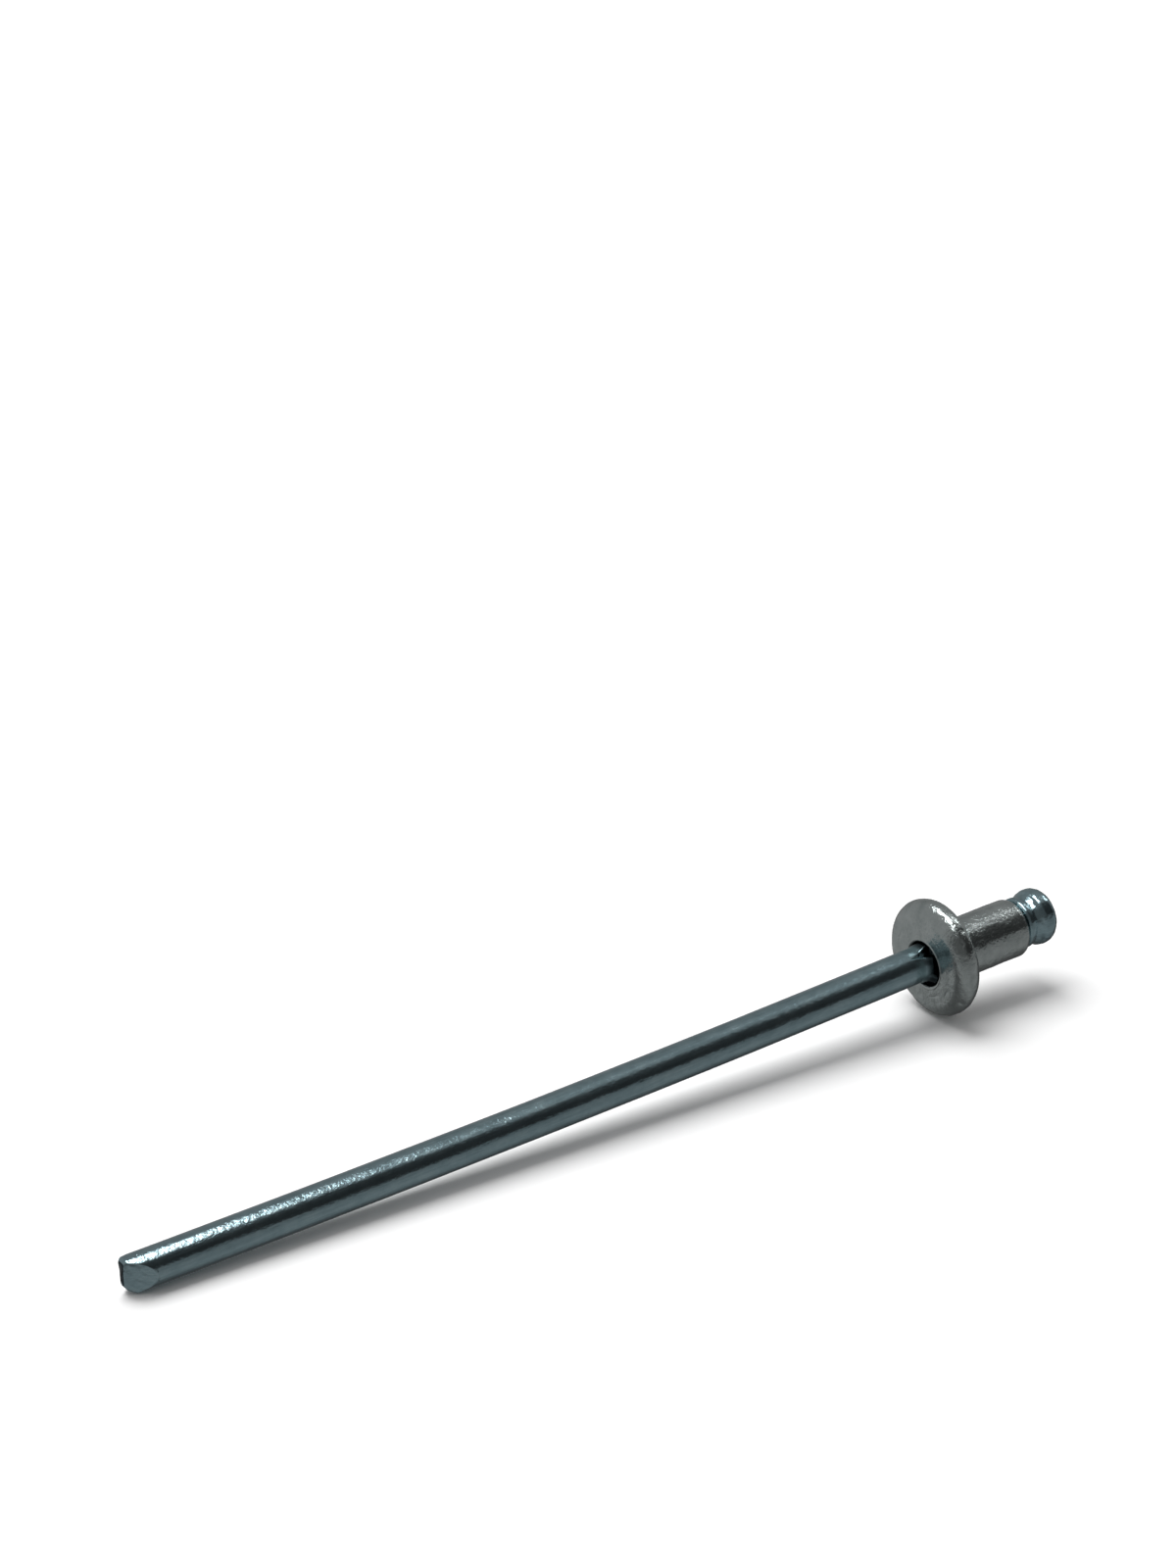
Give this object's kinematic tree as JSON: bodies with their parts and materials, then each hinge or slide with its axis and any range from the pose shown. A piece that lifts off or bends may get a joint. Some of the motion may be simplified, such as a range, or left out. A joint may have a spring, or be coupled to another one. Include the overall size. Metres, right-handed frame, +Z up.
{
  "type": "pop rivet",
  "caption": "Unset open-end blind rivet: a flanged tubular body held on a headed pull mandrel with a pinched-off tail.",
  "frame": {"origin": "on the rivet's axis, in the plane of the flange's seat (the underside that lies on the work)", "axes": "+X along the rivet from the cut tail towards the mandrel head, +Z up from the surface it lies on; the rivet's own axis climbs 2.6 degrees from +X, as the rivet rests on its flange rim and tail"},
  "size_m": [0.0572, 0.0064, 0.0065],
  "materials": {
    "rivet_body": "satin tumbled aluminium, neutral grey, with fine handling marks",
    "mandrel": "bright zinc-plated drawn steel wire with a faint blue-green passivated tint"
  },
  "bodies": {
    "root": {"rivet_body": "rivet_body", "mandrel": "mandrel"}
  },
  "joints": []
}
